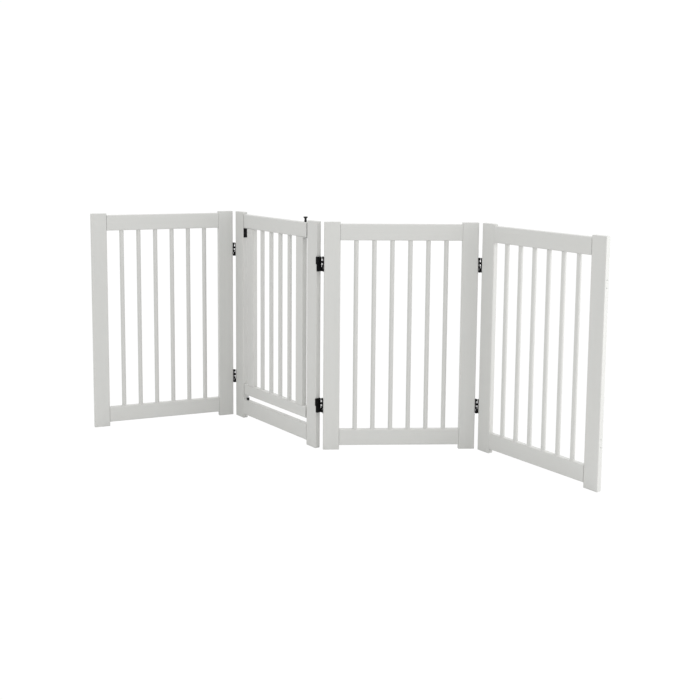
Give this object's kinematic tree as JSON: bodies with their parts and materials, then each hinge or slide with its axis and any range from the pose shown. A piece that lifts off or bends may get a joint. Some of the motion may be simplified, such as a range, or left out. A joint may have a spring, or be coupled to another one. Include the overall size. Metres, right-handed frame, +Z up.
{
  "type": "folding pet gate",
  "caption": "Free-standing zig-zag pet gate of slatted wooden panels on double-action hinges, with a swinging door and drop bolt in one panel.",
  "frame": {"origin": "centre of the whole gate's outline on the floor, in the folded pose it is stored in", "axes": "+X along the third panel, from its left end to its right end as seen from the front; +Y from the front towards the back; +Z up from the floor"},
  "size_m": [1.6266, 0.8839, 0.7725],
  "materials": {
    "painted_wood": "satin white paint over fine-grained softwood",
    "raw_wood": "bare beech dowel, sealed in its joint",
    "black_metal": "satin black coating on steel",
    "black_plastic": "moulded satin black",
    "plated_steel": "bright zinc plate"
  },
  "bodies": {
    "panel_2": {"panel_2_left_stile": "painted_wood", "panel_2_right_stile": "painted_wood", "panel_2_threshold": "painted_wood", "panel_2_joint_dowels": "raw_wood", "top_pivot_bracket": "black_metal", "top_pivot_pin": "black_metal", "top_pivot_screws": "black_metal", "bottom_pivot_pin": "plated_steel", "bottom_pivot_collar": "black_plastic", "strike_plate": "plated_steel", "strike_screws": "plated_steel", "hinge_12_panel_2_leaves": "black_metal", "hinge_12_panel_2_screws": "black_metal", "hinge_23_panel_2_leaves": "black_metal", "hinge_23_panel_2_screws": "black_metal"},
    "door": {"door_left_stile": "painted_wood", "door_right_stile": "painted_wood", "door_top_rail": "painted_wood", "door_bottom_rail": "painted_wood", "door_bars": "painted_wood", "door_joint_dowels": "raw_wood"},
    "latch": {"latch_bolt": "plated_steel", "latch_knob": "black_plastic"},
    "hinge_12_middle": {"hinge_12_middle_leaves": "black_metal", "hinge_12_front_pins": "black_metal", "hinge_12_back_pins": "black_metal"},
    "panel_1": {"panel_1_left_stile": "painted_wood", "panel_1_right_stile": "painted_wood", "panel_1_top_rail": "painted_wood", "panel_1_bottom_rail": "painted_wood", "panel_1_bars": "painted_wood", "panel_1_joint_dowels": "raw_wood", "hinge_12_panel_1_leaves": "black_metal", "hinge_12_panel_1_screws": "black_metal"},
    "hinge_23_middle": {"hinge_23_middle_leaves": "black_metal", "hinge_23_front_pins": "black_metal", "hinge_23_back_pins": "black_metal"},
    "panel_3": {"panel_3_left_stile": "painted_wood", "panel_3_right_stile": "painted_wood", "panel_3_top_rail": "painted_wood", "panel_3_bottom_rail": "painted_wood", "panel_3_bars": "painted_wood", "panel_3_joint_dowels": "raw_wood", "hinge_23_panel_3_leaves": "black_metal", "hinge_23_panel_3_screws": "black_metal", "hinge_34_panel_3_leaves": "black_metal", "hinge_34_panel_3_screws": "black_metal"},
    "hinge_34_middle": {"hinge_34_middle_leaves": "black_metal", "hinge_34_front_pins": "black_metal", "hinge_34_back_pins": "black_metal"},
    "panel_4": {"panel_4_left_stile": "painted_wood", "panel_4_right_stile": "painted_wood", "panel_4_top_rail": "painted_wood", "panel_4_bottom_rail": "painted_wood", "panel_4_bars": "painted_wood", "panel_4_joint_dowels": "raw_wood", "hinge_34_panel_4_leaves": "black_metal", "hinge_34_panel_4_screws": "black_metal"}
  },
  "joints": [
    {"name": "door_swing", "type": "hinge", "parent": "panel_2", "child": "door", "pos_m": [-0.27054, 0.36596, 0.3845], "axis": [0, 0, 1], "range_deg": [-90, 90]},
    {"name": "latch_lift", "type": "slide", "parent": "door", "child": "latch", "axis": [0, 0, 1], "range_m": [-0.01, 0]},
    {"name": "hinge_12_back", "type": "hinge", "parent": "panel_2", "child": "hinge_12_middle", "pos_m": [-0.30387, 0.43209, 0.3845], "axis": [0, 0, -1], "range_deg": [0, 180]},
    {"name": "hinge_12_front", "type": "hinge", "parent": "hinge_12_middle", "child": "panel_1", "pos_m": [-0.32418, 0.4245, 0.3845], "axis": [0, 0, 1], "range_deg": [-74.1, 105.9]},
    {"name": "hinge_23_front", "type": "hinge", "parent": "panel_2", "child": "hinge_23_middle", "pos_m": [-0.02667, -0.00198, 0.3845], "axis": [0, 0, -1], "range_deg": [0, 165]},
    {"name": "hinge_23_back", "type": "hinge", "parent": "hinge_23_middle", "child": "panel_3", "pos_m": [-0.00635, 0.00561, 0.3845], "axis": [0, 0, 1], "range_deg": [-55.1, 124.9]},
    {"name": "hinge_34_front", "type": "hinge", "parent": "panel_3", "child": "hinge_34_middle", "pos_m": [0.50825, -0.01539, 0.3845], "axis": [0, 0, -1], "range_deg": [-55.9, 124.1]},
    {"name": "hinge_34_back", "type": "hinge", "parent": "hinge_34_middle", "child": "panel_4", "pos_m": [0.52866, -0.00809, 0.3845], "axis": [0, 0, 1], "range_deg": [0, 180]}
  ]
}
